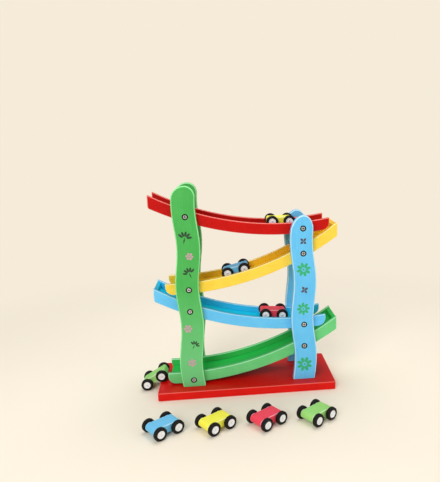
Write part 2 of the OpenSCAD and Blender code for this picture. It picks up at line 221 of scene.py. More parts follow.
def enamelledBeech(name, colour, shade, edge, along="X", zone=None, second=None, look=paintLook):
    paint = bpy.data.materials.new(name)
    paint.use_nodes = True
    tree = paint.node_tree
    tree.nodes.clear()
    place = addNode(tree, "ShaderNodeTexCoord").outputs["Object"]
    squeeze = look["streakWidth"] / look["streakLength"]
    stretch = {"X": (squeeze, 1, 1), "Z": (1, 1, squeeze)}[along]
    grainPlace = addNode(tree, "ShaderNodeMapping", {"Vector": place, "Scale": stretch}).outputs[0]
    streaks = addNode(tree, "ShaderNodeTexNoise", {
        "Vector": grainPlace, "Scale": 1 / (look["streakWidth"] * mm),
        "Detail": look["streakDetail"][0], "Roughness": look["streakDetail"][1]}).outputs["Fac"]
    clouds = addNode(tree, "ShaderNodeTexNoise", {
        "Vector": place, "Scale": 1 / (look["cloudSize"] * mm), "Detail": look["cloudDetail"]}).outputs["Fac"]
    mixed = addNode(tree, "ShaderNodeMath", {0: streaks, 1: clouds}, operation="ADD").outputs[0]
    depth = addNode(tree, "ShaderNodeMapRange", {
        "Value": mixed, "From Min": look["coatRange"][0], "From Max": look["coatRange"][1]}).outputs[0]
    coat = addNode(tree, "ShaderNodeMix", {
        "Factor": depth, "A": linear(shade), "B": linear(colour)}, data_type="RGBA").outputs["Result"]
    # a second tone by distance from the middle: painted shade inside a track's channel, or the left posts'
    # paler tone near the floor
    if zone:
        axis, outer, full = zone
        measure = addNode(tree, "ShaderNodeSeparateXYZ", {0: place}).outputs[axis]
        away = addNode(tree, "ShaderNodeMath", {0: measure}, operation="ABSOLUTE").outputs[0]
        inside = addNode(tree, "ShaderNodeMapRange", {
            "Value": away, "From Min": outer * mm, "From Max": full * mm}).outputs[0]
        coat = addNode(tree, "ShaderNodeMix", {
            "Factor": inside, "A": coat, "B": linear(second)}, data_type="RGBA").outputs["Result"]
    # painted highlight: the eased edges take the lighter edge tone, more where they face up, as if lit from
    # above
    corner = addNode(tree, "ShaderNodeAttribute", attribute_name="paintedEdgeHighlight").outputs["Fac"]
    highlightAmount = addNode(tree, "ShaderNodeMath", {0: corner, 1: look["edgeHighlightShare"]}, operation="MULTIPLY").outputs[0]
    facing = addNode(tree, "ShaderNodeNewGeometry").outputs["Normal"]
    height = addNode(tree, "ShaderNodeSeparateXYZ", {0: facing}).outputs["Z"]
    lit = addNode(tree, "ShaderNodeMapRange", {
        "Value": height, "From Min": look["edgeLight"][0], "From Max": look["edgeLight"][1]}).outputs[0]
    edgeHighlight = addNode(tree, "ShaderNodeMath", {0: highlightAmount, 1: lit}, operation="MULTIPLY").outputs[0]
    coat = addNode(tree, "ShaderNodeMix", {
        "Factor": edgeHighlight, "A": coat, "B": linear(edge)}, data_type="RGBA").outputs["Result"]
    # painted shade: a screw's recess turns nearly black
    recessShadeMask = addNode(tree, "ShaderNodeAttribute", attribute_name="paintedRecessShade").outputs["Fac"]
    tint = addNode(tree, "ShaderNodeMix", {
        "Factor": recessShadeMask, "A": coat, "B": linear(look["recessShadeColour"])}, data_type="RGBA")
    gloss = addNode(tree, "ShaderNodeMapRange", {
        "Value": streaks, "From Min": look["streakRange"][0], "From Max": look["streakRange"][1],
        "To Min": look["roughness"][0], "To Max": look["roughness"][1]}).outputs[0]
    bump = addNode(tree, "ShaderNodeBump", {
        "Height": streaks, "Distance": look["streakDepth"] * mm,
        "Strength": look["streakRelief"]}).outputs[0]
    shader = addNode(tree, "ShaderNodeBsdfPrincipled", {
        "Base Color": tint.outputs["Result"], "Roughness": gloss, "Normal": bump,
        "Specular IOR Level": look["specular"], "Coat Weight": look["coat"],
        "Coat Roughness": look["coatRoughness"]})
    addNode(tree, "ShaderNodeOutputMaterial", {"Surface": shader.outputs[0]})
    return paint


# Turned and moulded finishes and inks: what stays the same all over is set on the shader, and the rest is
# a fine speckle between two colours, of the given size and depth
speckle = {"detail": 2, "relief": 0.5}


def fineFinish(name, colour, second, roughness, size, depth, slotShade=None, **sockets):
    finish = bpy.data.materials.new(name)
    finish.use_nodes = True
    tree = finish.node_tree
    tree.nodes.clear()
    place = addNode(tree, "ShaderNodeTexCoord").outputs["Object"]
    speck = addNode(tree, "ShaderNodeTexNoise", {
        "Vector": place, "Scale": 1 / (size * mm), "Detail": speckle["detail"]}).outputs["Fac"]
    tone = addNode(tree, "ShaderNodeMix", {
        "Factor": speck, "A": linear(colour), "B": linear(second)}, data_type="RGBA")
    # painted shade: the cross of a screw's head turns nearly black
    if slotShade:
        slot = addNode(tree, "ShaderNodeAttribute", attribute_name="crossSlotShade").outputs["Fac"]
        tone = addNode(tree, "ShaderNodeMix", {
            "Factor": slot, "A": tone.outputs["Result"], "B": linear(slotShade)}, data_type="RGBA")
    gloss = addNode(tree, "ShaderNodeMapRange", {
        "Value": speck, "To Min": roughness[0], "To Max": roughness[1]}).outputs[0]
    bump = addNode(tree, "ShaderNodeBump", {
        "Height": speck, "Distance": depth * mm, "Strength": speckle["relief"]}).outputs[0]
    shader = addNode(tree, "ShaderNodeBsdfPrincipled", {
        "Base Color": tone.outputs["Result"], "Roughness": gloss, "Normal": bump, **sockets})
    addNode(tree, "ShaderNodeOutputMaterial", {"Surface": shader.outputs[0]})
    return finish


# the third colour of each paint below is a painted highlight along the upward eased edges
basePaint = enamelledBeech("redEnamelledBase", "#DE1006", "#D20C04", "#F0665C")
# each track: its colour name, outer tone, darker streak tone, the painted highlight for the upward eased
# edges, and the painted shade inside the channel
railPaint = {
    colour: enamelledBeech(colour + "EnamelledTrack", outer, shade, edge, zone=channelShadeZone, second=channelShade)
    for colour, outer, shade, edge, channelShade in (
        ("red", "#C90600", "#BD0400", "#FF8C80", "#A80B04"),
        ("yellow", "#FCD850", "#F8CE40", "#FFF2B4", "#F2C01A"),
        ("blue", "#6CC8F6", "#62C0F2", "#B4E8FE", "#00CAF8"),
        ("green", "#70D282", "#66C878", "#B6F2BE", "#20BA48"))
}
postPaint = {
    "left": enamelledBeech("greenEnamelledPost", "#50B458", "#46AC50", "#A4FFAE", "Z", lowZone, "#6EC67C"),
    "right": enamelledBeech("blueEnamelledPost", "#6CC6F4", "#60BEF0", "#D4F4FF", "Z"),
}
carPaint = {
    "blue": enamelledBeech("blueEnamelledCar", "#78C8F0", "#6CBEEA", "#B8E6FA"),
    "yellow": enamelledBeech("yellowEnamelledCar", "#FCF656", "#F6EE48", "#FFFCB4"),
    "red": enamelledBeech("redEnamelledCar", "#F44C60", "#EE4156", "#FCA4B0"),
    "green": enamelledBeech("greenEnamelledCar", "#A2DC7C", "#96D470", "#D2F2BE"),
}
# Moulded rubber: dull and nearly black, with a faint sheen on the shoulders
tyreRubber = fineFinish("mouldedBlackRubber", "#080605", "#100D0B", (0.55, 0.7), 0.5, 0.02,
                        **{"Specular IOR Level": 0.25})
# Moulded ABS: clean white with a close gloss
hubPlastic = fineFinish("mouldedWhitePlastic", "#F4F4F4", "#E9E9EA", (0.22, 0.34), 1.5, 0.01, IOR=1.5)
# Zinc-plated steel: bright and slightly cloudy, with painted shade, nearly black, in the cross of a screw's
# head
zincSteel = fineFinish("zincPlatedSteel", "#EEF0F2", "#DADDE0", (0.22, 0.4), 0.8, 0.01,
                       slotShade="#1A1815", Metallic=1.0)
print("finishes ready")


# Tracks: every rail and bed is a curved board cut plumb at its ends, with rounded lower corners
trackShape = {
    "radius": 370, "channel": 43, "railThickness": 5, "railHeight": 15,
    "bedDrop": 8, "bedThickness": 3.5, "grooveDepth": 1.5, "grooveGap": 0.1,
    "nestNose": 7, "nose": 10.5, "heel": 4,  # the tracks nest as on a nose of 7, and are drawn rounder
    "cornerProud": 0.02, "dropGap": 34, "lipInset": 2.5,
    "stopThickness": 4, "stopDrop": 2, "stopGap": 0.1, "nestGap": 1.2, "baseLift": 1.5, "baseTop": 11,
    "edge": 0.9,
}
trackRuns = {  # high end, low end and fall, from the lowest track up
    "green": (125, -106.5, 68),
    "blue": (-118.5, 109.5, 47.5),
    "yellow": (126, -103, 74),
    "red": (-118.5, 115, 36.5),
}


def sag(radius, dx):
    # how far a circle lies below its centre, this far to the side
    return math.sqrt(radius ** 2 - dx ** 2)


def curveCentres(runs, s):
    # each track's curve rests on the one below with the nest gap at its nose
    centres = {}
    below = None
    for colour, (high, low, fall) in runs.items():
        travel = math.copysign(1, low - high)
        chord = math.hypot(high - low, fall)
        x = (high + low) / 2 + travel * fall / chord * sag(s["radius"], chord / 2)
        if below is None:
            lowest = min(max(x, min(high, low)), max(high, low))
            z = s["baseTop"] + s["baseLift"] + sag(s["radius"] + s["railHeight"], lowest - x)
        else:
            noseX = low - travel * (s["nestNose"] - s["cornerProud"])
            reach = s["radius"] + s["railHeight"] - s["nestNose"] + s["cornerProud"]
            z = (below[1] - sag(s["radius"] - s["nestNose"] - s["nestGap"], noseX - below[0])
                 + sag(reach, noseX - x))
        below = (x, z)
        centres[colour] = below
    return centres


def workOut(tree, known, sums):
    # a chain of sums: each is (its name, the operation, and one or two terms, by name or as numbers)
    for name, operation, *terms in sums:
        inputs = {i: known.get(term, term) for i, term in enumerate(terms)}
        known[name] = addNode(tree, "ShaderNodeMath", inputs, operation=operation).outputs[0]


def plumbEndTree():
    # where a ring of a given radius meets the plumb end of a board or its rounded lower corner
    tree = bpy.data.node_groups.new("plumbEnd", "GeometryNodeTree")
    names = ["Radius", "Bottom Radius", "Centre X", "End X", "Corner", "Side"]
    for name in names:
        tree.interface.new_socket(name, in_out="INPUT", socket_type="NodeSocketFloat")
    tree.interface.new_socket("X", in_out="OUTPUT", socket_type="NodeSocketFloat")
    given = tree.nodes.new("NodeGroupInput").outputs
    known = {name: given[name] for name in names}
    workOut(tree, known, [
        ("reach", "SUBTRACT", "Bottom Radius", "Corner"),
        ("inset", "MULTIPLY", "Side", "Corner"),
        ("circle x", "SUBTRACT", "End X", "inset"),
        ("dx", "SUBTRACT", "circle x", "Centre X"),
        ("lean", "DIVIDE", "dx", "reach"),
        ("turn", "ARCSINE", "lean"),
        ("radius square", "MULTIPLY", "Radius", "Radius"),
        ("reach square", "MULTIPLY", "reach", "reach"),
        ("corner square", "MULTIPLY", "Corner", "Corner"),
        ("both squares", "ADD", "radius square", "reach square"),
        ("over", "SUBTRACT", "both squares", "corner square"),
        ("product", "MULTIPLY", "Radius", "reach"),
        ("under", "MULTIPLY", "product", 2.0),
        ("cosine", "DIVIDE", "over", "under"),
        ("safe cosine", "MINIMUM", "cosine", 1.0),
        ("spread", "ARCCOSINE", "safe cosine"),
        ("side spread", "MULTIPLY", "Side", "spread"),
        ("angle", "ADD", "turn", "side spread"),
        ("sine", "SINE", "angle"),
        ("offset", "MULTIPLY", "Radius", "sine"),
        ("on corner", "ADD", "Centre X", "offset"),
        ("end dx", "SUBTRACT", "End X", "Centre X"),
        ("end square", "MULTIPLY", "end dx", "end dx"),
        ("dx square", "MULTIPLY", "dx", "dx"),
        ("end and reach", "ADD", "end square", "reach square"),
        ("limit", "SUBTRACT", "end and reach", "dx square"),
        ("below", "GREATER_THAN", "radius square", "limit"),
    ])
    x = addNode(tree, "ShaderNodeMix", {
        "Factor": known["below"], "A": known["End X"], "B": known["on corner"]}).outputs[0]
    tree.links.new(x, tree.nodes.new("NodeGroupOutput").inputs[0])
    return tree


def curvedBoardTree():
    tree, given, made = newTree("curvedBoard", [
        ("Centre X", "Float", 0.0), ("Centre Z", "Float", 0.5), ("Top Radius", "Float", 0.37),
        ("Depth", "Float", 0.015), ("Left X", "Float", -0.1), ("Right X", "Float", 0.1),
        ("Left Corner", "Float", 0.003), ("Right Corner", "Float", 0.007),
        ("Front Y", "Float", 0.0), ("Thickness", "Float", 0.005),
        ("Long Steps", "Int", 64), ("End Steps", "Int", 18), ("Paint", "Material", None)])
    known = {name: given[name] for name in (
        "Centre X", "Centre Z", "Top Radius", "Depth", "Front Y", "Thickness", "Long Steps", "End Steps")}
    workOut(tree, known, [
        ("right end", "ADD", "Long Steps", "End Steps"),
        ("under end", "ADD", "right end", "Long Steps"),
        ("left end", "ADD", "under end", "End Steps"),
        ("bottom", "ADD", "Top Radius", "Depth"),
        ("back y", "ADD", "Front Y", "Thickness"),
    ])
    # the outline runs along the top, down the right end, back along the underside and up the left end
    index = addNode(tree, "GeometryNodeInputIndex").outputs[0]
    marks = [0.0, known["Long Steps"], known["right end"], known["under end"], known["left end"]]
    for name, low, high in zip(("out", "down", "back", "up"), marks, marks[1:]):
        known[name] = addNode(tree, "ShaderNodeMapRange", {
            "Value": index, "From Min": low, "From Max": high}).outputs[0]
    workOut(tree, known, [
        ("along", "SUBTRACT", "out", "back"),
        ("depth share", "SUBTRACT", "down", "up"),
        ("quarter", "MULTIPLY", "depth share", math.pi / 2),
        ("fall", "SINE", "quarter"),
        ("fallen", "MULTIPLY", "Depth", "fall"),
        ("radius", "ADD", "Top Radius", "fallen"),
    ])
    ends = [
        addNode(tree, "GeometryNodeGroup", {
            0: known["radius"], 1: known["bottom"], 2: given["Centre X"], 3: given[edge + " X"],
            4: given[edge + " Corner"], 5: side}, node_tree=bpy.data.node_groups["plumbEnd"]).outputs[0]
        for edge, side in (("Left", -1.0), ("Right", 1.0))]
    known["x"] = addNode(tree, "ShaderNodeMix", {
        "Factor": known["along"], "A": ends[0], "B": ends[1]}).outputs[0]
    workOut(tree, known, [
        ("dx", "SUBTRACT", "x", "Centre X"),
        ("dx square", "MULTIPLY", "dx", "dx"),
        ("radius square", "MULTIPLY", "radius", "radius"),
        ("height square", "SUBTRACT", "radius square", "dx square"),
        ("height", "SQRT", "height square"),
        ("z", "SUBTRACT", "Centre Z", "height"),
    ])
    loop = addNode(tree, "GeometryNodeCurvePrimitiveCircle", {"Resolution": known["left end"]}).outputs[0]
    spot = addNode(tree, "ShaderNodeCombineXYZ", {0: known["x"], 1: known["z"]}).outputs[0]
    outline = addNode(tree, "GeometryNodeSetPosition", {"Geometry": loop, "Position": spot}).outputs[0]
    side = addNode(tree, "GeometryNodeFillCurve", {"Curve": outline}, mode="NGONS").outputs[0]
    offset = addNode(tree, "ShaderNodeCombineXYZ", {2: given["Thickness"]}).outputs[0]
    board = addNode(tree, "GeometryNodeExtrudeMesh", {
        "Mesh": side, "Offset": offset, "Offset Scale": 1.0, "Individual": False}).outputs[0]
    back = addNode(tree, "GeometryNodeFlipFaces", {"Mesh": side}).outputs[0]
    joined = addNode(tree, "GeometryNodeJoinGeometry").inputs[0]
    tree.links.new(board, joined)
    tree.links.new(back, joined)
    closed = addNode(tree, "GeometryNodeMergeByDistance", {
        "Geometry": joined.node.outputs[0], "Distance": seamDistance}).outputs[0]
    shift = addNode(tree, "ShaderNodeCombineXYZ", {1: known["back y"]}).outputs[0]
    stood = addNode(tree, "GeometryNodeTransform", {
        "Geometry": closed, "Translation": shift, "Rotation": (math.pi / 2, 0, 0)}).outputs[0]
    real = addNode(tree, "GeometryNodeRealizeInstances", {"Geometry": stood}).outputs[0]
    painted = addNode(tree, "GeometryNodeSetMaterial", {
        "Geometry": real, "Material": given["Paint"]}).outputs[0]
    tree.links.new(painted, made[0])
    return tree


def curvedBoard(name, tree, centre, span, radii, corners, ySpan, paint, edge):
    # span and corners are given from left to right
    piece = newObject(name, bpy.data.meshes.new(name))
    applyTree(piece, tree, {
        "Centre X": centre[0] * mm, "Centre Z": centre[1] * mm,
        "Top Radius": radii[0] * mm, "Depth": (radii[1] - radii[0]) * mm,
        "Left X": span[0] * mm, "Right X": span[1] * mm,
        "Left Corner": corners[0] * mm, "Right Corner": corners[1] * mm,
        "Front Y": ySpan[0] * mm, "Thickness": (ySpan[1] - ySpan[0]) * mm, "Paint": paint})
    bake(piece)
    mend(piece.data)
    coatAll(piece.data, paint)
    return easeEdges(piece, edge)


def leftToRight(travel, high, low):
    # a track that falls to the right has its high end on the left
    return (high, low) if travel > 0 else (low, high)


def makeTracks(runs, s):
    plumbEndTree()
    tree = curvedBoardTree()
    centres = curveCentres(runs, s)
    half = s["channel"] / 2
    bedHalf = half + s["grooveDepth"] - s["grooveGap"]
    stopHalf = half - s["stopGap"]
    railRadii = (s["radius"], s["radius"] + s["railHeight"])
    bedRadii = (s["radius"] + s["bedDrop"], s["radius"] + s["bedDrop"] + s["bedThickness"])
    stopRadii = (s["radius"] + s["stopDrop"], s["radius"] + s["bedDrop"] - s["stopGap"])
    square = (0, 0)
    railSpans = {"front": (-half - s["railThickness"], -half), "rear": (half, half + s["railThickness"])}
    for colour, centre in centres.items():
        high, low = runs[colour][:2]
        travel = math.copysign(1, low - high)
        paint = railPaint[colour]
        slot = colour + "_track_paint"
        corners = leftToRight(travel, s["heel"], s["nose"])
        for side, railSpan in railSpans.items():
            rail = curvedBoard(f"{colour}_{side}_curvedRail", tree, centre, leftToRight(travel, high, low),
                               railRadii, corners, railSpan, paint, s["edge"])
            hand(rail, "toy", slot, f"{colour}_{side}_rail")
        bedEnd = low - travel * (s["lipInset"] if colour == "green" else s["dropGap"])
        bed = curvedBoard(f"{colour}_curvedBed", tree, centre, leftToRight(travel, high, bedEnd),
                          bedRadii, square, (-bedHalf, bedHalf), paint, s["edge"] / 2)
        hand(bed, "toy", slot, f"{colour}_bed")
        if colour != "red":
            stopEnd = high + travel * s["stopThickness"]
            stop = curvedBoard(f"{colour}_endStop", tree, centre, leftToRight(travel, high, stopEnd),
                               stopRadii, square, (-stopHalf, stopHalf), paint, s["edge"])
            hand(stop, "toy", slot)
    return centres


trackCentres = makeTracks(trackRuns, trackShape)
print("tracks made", {colour: [round(v, 2) for v in centre] for colour, centre in trackCentres.items()})


# Turned pieces: a half section turned round its axis and set on places, each facing outwards
turnedShape = {"steps": 56, "pathRadius": 1.0, "fillets": 3, "weld": 0.003}


def turnedTree(name):
    tree, given, made = newTree(name, [
        ("Section", "Object", None), ("Path Radius", "Float", 0.001), ("Steps", "Int", 56),
        ("Edge Rounding", "Float", 0.0002), ("Finish", "Material", None)])
    drawn = addNode(tree, "GeometryNodeObjectInfo", {"Object": given["Section"]}).outputs["Geometry"]
    section = addNode(tree, "GeometryNodeMeshToCurve", {"Mesh": drawn}).outputs[0]
    rounded = addNode(tree, "GeometryNodeFilletCurve", {
        "Curve": section, "Count": turnedShape["fillets"], "Radius": given["Edge Rounding"],
        "Limit Radius": True}, mode="POLY").outputs[0]
    path = addNode(tree, "GeometryNodeCurvePrimitiveCircle", {
        "Resolution": given["Steps"], "Radius": given["Path Radius"]}).outputs[0]
    turned = addNode(tree, "GeometryNodeCurveToMesh", {
        "Curve": path, "Profile Curve": rounded}).outputs[0]
    solid = addNode(tree, "GeometryNodeMergeByDistance", {
        "Geometry": turned, "Distance": turnedShape["weld"] * mm}).outputs[0]
    turn = addNode(tree, "GeometryNodeInputNamedAttribute", {
        "Name": "turn"}, data_type="FLOAT_VECTOR").outputs[0]
    placed = addNode(tree, "GeometryNodeInstanceOnPoints", {
        "Points": given["Geometry"], "Instance": solid, "Rotation": turn}).outputs[0]
    real = addNode(tree, "GeometryNodeRealizeInstances", {"Geometry": placed}).outputs[0]
    finished = addNode(tree, "GeometryNodeSetMaterial", {
        "Geometry": real, "Material": given["Finish"]}).outputs[0]
    tree.links.new(finished, made[0])
    return tree


def sectionObject(name, points, ring):
    # a half section in (radius, height), closed if the piece is a ring, and moved in by the path's radius
    # so that it turns about the axis
    mesh = bpy.data.meshes.new(name)
    inset = turnedShape["pathRadius"]
    edges = [(i, (i + 1) % len(points)) for i in range(len(points) if ring else len(points) - 1)]
    mesh.from_pydata([((r - inset) * mm, -h * mm, 0) for r, h in points], edges, [])
    return newObject(name, mesh)


def turnedPieces(name, tree, section, places, rounding, finish):
    # places are (position, outward direction), in millimetres
    mesh = bpy.data.meshes.new(name)
    mesh.from_pydata([[v * mm for v in spot] for spot, way in places], [], [])
    turn = mesh.attributes.new("turn", "FLOAT_VECTOR", "POINT")
    for item, (spot, way) in zip(turn.data, places):
        item.vector = Vector(way).to_track_quat("Z", "Y").to_euler()
    piece = newObject(name, mesh)
    applyTree(piece, tree, {
        "Section": section, "Path Radius": turnedShape["pathRadius"] * mm, "Steps": turnedShape["steps"],
        "Edge Rounding": rounding * mm, "Finish": finish})
    bake(piece)
    mend(piece.data)
    piece.data.set_sharp_from_angle(angle=creaseTurn)
    return piece


# Screws: zinc-plated, with a bevelled head and a cross in its face
screwShape = {
    "edge": 0.12, "headHeight": 1.6, "crossLength": 3.4, "crossDepth": 0.9,
    "postSeat": 34.0, "baseSeat": 3.0, "basePitch": 16, "postRow": 31,
    "leftPost": -72, "rightPost": 78.5, "railMiddle": 7.5,
    "recessReach": 4.3,  # a post's faces this near to a screw's axis are marked for its recess's painted shade
    "seatSlack": 0.1, "crossSlack": 0.05,  # what the marks allow at a recess's floor and at a cross's ends
}


def screwHeights(x, s):
    # the screws through a post stand at the middles of the rails
    return [cz - sag(trackShape["radius"] + s["railMiddle"], x - cx) for cx, cz in trackCentres.values()]


def baseScrewSpots(s):
    return [(x + dx, y, s["baseSeat"]) for x in (s["leftPost"], s["rightPost"])
            for dx in (-s["basePitch"] / 2, s["basePitch"] / 2) for y in (-s["postRow"], s["postRow"])]


def markCrossShade(piece, places, s):
    # the walls and floor of the cross in every screw's head, marked for painted shade
    floor = s["headHeight"] - s["crossDepth"] - s["crossSlack"]
    face = s["headHeight"] - s["crossSlack"]
    mark = piece.data.attributes.new("crossSlotShade", "FLOAT", "FACE")
    for item, side in zip(mark.data, piece.data.polygons):
        spot, way = min(places, key=lambda place: (side.center - Vector(place[0]) * mm).length)
        away = side.center / mm - Vector(spot)
        out = away.dot(Vector(way))
        aside = (away - out * Vector(way)).length
        item.value = 1.0 if floor < out < face and aside < s["crossLength"] / 2 else 0.0


# Posts, base and screws: the CAD forms with their recesses and crosses, with the edges eased
def easedCopy(name, node, finish, edge, holes=()):
    # holes are (a place on the axis, the axis, how far the hole's edges reach), and their edges stay crisp
    piece = newObject(name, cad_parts[node].data.copy())
    form = bmesh.new()
    form.from_mesh(piece.data)
    bmesh.ops.remove_doubles(form, verts=form.verts, dist=weldDistance)
    bmesh.ops.dissolve_limit(form, angle_limit=flatTurn, verts=form.verts, edges=form.edges)
    weight = form.edges.layers.float.new("bevel_weight_edge")
    for line in form.edges:
        middle = (line.verts[0].co + line.verts[1].co) / 2
        inHole = any((middle - Vector(spot) * mm).cross(Vector(axis)).length < reach * mm
                     for spot, axis, reach in holes)
        line.smooth = line.calc_face_angle(0) < sharpTurn
        line[weight] = 0.0 if line.smooth or inHole else 1.0
    for face in form.faces:
        face.smooth = True
    form.to_mesh(piece.data)
    form.free()
    coatAll(piece.data, finish)
    return easeEdges(piece, edge, weighted=True)


def markRecessShade(piece, seats, side, s):
    # the faces of a post's screw recesses, from the wall inwards, marked for painted shade
    mesh = piece.data
    mark = mesh.attributes.new("paintedRecessShade", "FLOAT", "FACE")
    inside = []
    for point in mesh.vertices:
        away = [point.co - Vector(seat) * mm for seat in seats]
        inside.append(any(math.hypot(v.x, v.z) < s["recessReach"] * mm and v.y * side > -s["seatSlack"] * mm
                          for v in away))
    for item, face in zip(mark.data, mesh.polygons):
        item.value = 1.0 if all(inside[i] for i in face.vertices) else 0.0


boardEdges = {  # rounding of the base and the posts, and how near to a screw's axis an edge is a hole's
    "base": 0.9, "post": 1.3, "recessReach": 4.15, "shankReach": 2.5,
}


def makePostsAndBase(s):
    below = baseScrewSpots(screwShape)
    base = easedCopy("enamelledBase", "base_board", basePaint, s["base"],
                     [(spot, (0, 0, 1), s["recessReach"]) for spot in below])
    hand(base, "toy", "base_paint", "base_board")
    for side in ("left", "right"):
        x = screwShape[side + "Post"]
        for row, out in (("front", -1), ("rear", 1)):
            seats = [(x, out * screwShape["postSeat"], z) for z in screwHeights(x, screwShape)]
            holes = [(seat, (0, 1, 0), s["recessReach"]) for seat in seats]
            holes += [(spot, (0, 0, 1), s["shankReach"]) for spot in below]
            node = f"{side}_{row}_post"
            post = easedCopy(f"{side}_{row}_wavyPost", node, postPaint[side], s["post"], holes)
            markRecessShade(post, seats, out, screwShape)
            hand(post, "toy", side + "_post_paint", node)


makePostsAndBase(boardEdges)
print("posts and base made")


def makeScrews(s):
    sets = [("base_screws", "baseCrossScrews", [(spot, (0, 0, -1)) for spot in baseScrewSpots(s)])]
    for row, side in (("front", -1), ("rear", 1)):
        places = [((x, side * s["postSeat"], z), (0, side, 0))
                  for x in (s["leftPost"], s["rightPost"]) for z in screwHeights(x, s)]
        sets.append((row + "_post_screws", row + "_postCrossScrews", places))
    for node, name, places in sets:
        screws = easedCopy(name, node, zincSteel, s["edge"])
        markCrossShade(screws, places, s)
        hand(screws, "toy", "screw_steel", node)


makeScrews(screwShape)
print("screws made")


# Printed motifs on the front posts: opaque screen-printed ink, a hair proud of the paint, matt and uneven
printShape = {
    "face": 35.48, "film": 0.05,  # from the middle plane, so that the film's back lies just inside the paint
    # each layer of a motif: petals, corners of a petal, fan in degrees, length, width, start
    "blossom": [(6, 20, 360, 3.8, 3.2, 1.8), (1, 20, 360, 2.6, 2.6, -1.3)],
    "sprig": [(5, 8, 160, 6.6, 2.7, 2.5), (1, 4, 360, -9.0, 1.6, 2.3)],
    "leafRosette": [(8, 8, 360, 6.4, 3.6, 2.1), (1, 12, 360, 2.4, 2.4, -1.2)],
    "star": [(4, 4, 360, 5.8, 3.8, 0.0)],
}
printInks = {
    motif: fineFinish(name + "ScreenInk", colour, second, (0.5, 0.62), 1.2, 0.01)
    for motif, name, colour, second in (
        ("blossom", "pink", "#C99CAC", "#BE8FA0"),
        ("sprig", "darkGreen", "#15301B", "#1E3F25"),
        ("leafRosette", "leafGreen", "#2FB574", "#27A868"),
        ("star", "plum", "#54454E", "#483A43"))
}
printPlaces = {  # from the post's middle line, then the height, the turn in degrees and the size
    "left": {
        "sprig": [(-2, 213, 14, 1.1), (2, 167, -22, 1.0), (3, 69, 30, 0.8)],
        "blossom": [(3, 190, 10, 0.9), (-4, 93, 0, 1.0), (-1, 45, 25, 1.0)],
    },
    "right": {
        "star": [(0, 204, 0, 0.95), (1, 138, 12, 1.0)],
        "leafRosette": [(0, 166, 8, 1.15), (-1, 112, 20, 1.05), (0, 33, 0, 1.25)],
    },
}


def motifTree():
    # petals fanned round a middle as thin film, set on places by their own turn and size
    tree, given, made = newTree("printedMotif", [
        ("Petals", "Int", 6), ("Petal Corners", "Int", 20), ("Fan", "Float", 2 * math.pi),
        ("Petal Length", "Float", 0.004), ("Petal Width", "Float", 0.003), ("Petal Start", "Float", 0.001),
        ("Film", "Float", 0.00005), ("Ink", "Material", None)])
    known = {name: given[name] for name in ("Petals", "Fan", "Petal Length", "Petal Start")}
    known["index"] = addNode(tree, "GeometryNodeInputIndex").outputs[0]
    workOut(tree, known, [
        ("half length", "MULTIPLY", "Petal Length", 0.5),
        ("middle", "ADD", "Petal Start", "half length"),
        ("full length", "ABSOLUTE", "Petal Length"),
        ("step", "ADD", "index", 0.5),
        ("part", "DIVIDE", "step", "Petals"),
        ("from middle", "SUBTRACT", "part", 0.5),
        ("angle", "MULTIPLY", "from middle", "Fan"),
    ])
    disc = addNode(tree, "GeometryNodeMeshCircle", {
        "Vertices": given["Petal Corners"], "Radius": 0.5}, fill_type="NGON").outputs[0]
    span = addNode(tree, "ShaderNodeCombineXYZ", {
        0: given["Petal Width"], 1: known["full length"], 2: 1.0}).outputs[0]
    spot = addNode(tree, "ShaderNodeCombineXYZ", {1: known["middle"]}).outputs[0]
    petal = addNode(tree, "GeometryNodeTransform", {
        "Geometry": disc, "Translation": spot, "Scale": span}).outputs[0]
    lift = addNode(tree, "ShaderNodeCombineXYZ", {2: given["Film"]}).outputs[0]
    top = addNode(tree, "GeometryNodeExtrudeMesh", {
        "Mesh": petal, "Offset": lift, "Offset Scale": 1.0, "Individual": False}).outputs[0]
    under = addNode(tree, "GeometryNodeFlipFaces", {"Mesh": petal}).outputs[0]
    joined = addNode(tree, "GeometryNodeJoinGeometry").inputs[0]
    tree.links.new(top, joined)
    tree.links.new(under, joined)
    closed = addNode(tree, "GeometryNodeMergeByDistance", {
        "Geometry": joined.node.outputs[0], "Distance": seamDistance}).outputs[0]
    ring = addNode(tree, "GeometryNodePoints", {"Count": given["Petals"]}).outputs[0]
    spin = addNode(tree, "ShaderNodeCombineXYZ", {2: known["angle"]}).outputs[0]
    fan = addNode(tree, "GeometryNodeInstanceOnPoints", {
        "Points": ring, "Instance": closed, "Rotation": spin}).outputs[0]
    turn = addNode(tree, "GeometryNodeInputNamedAttribute", {
        "Name": "turn"}, data_type="FLOAT_VECTOR").outputs[0]
    size = addNode(tree, "GeometryNodeInputNamedAttribute", {"Name": "size"}, data_type="FLOAT").outputs[0]
    placed = addNode(tree, "GeometryNodeInstanceOnPoints", {
        "Points": given["Geometry"], "Instance": fan, "Rotation": turn, "Scale": size}).outputs[0]
    real = addNode(tree, "GeometryNodeRealizeInstances", {"Geometry": placed}).outputs[0]
    inked = addNode(tree, "GeometryNodeSetMaterial", {"Geometry": real, "Material": given["Ink"]}).outputs[0]
    tree.links.new(inked, made[0])
    return tree


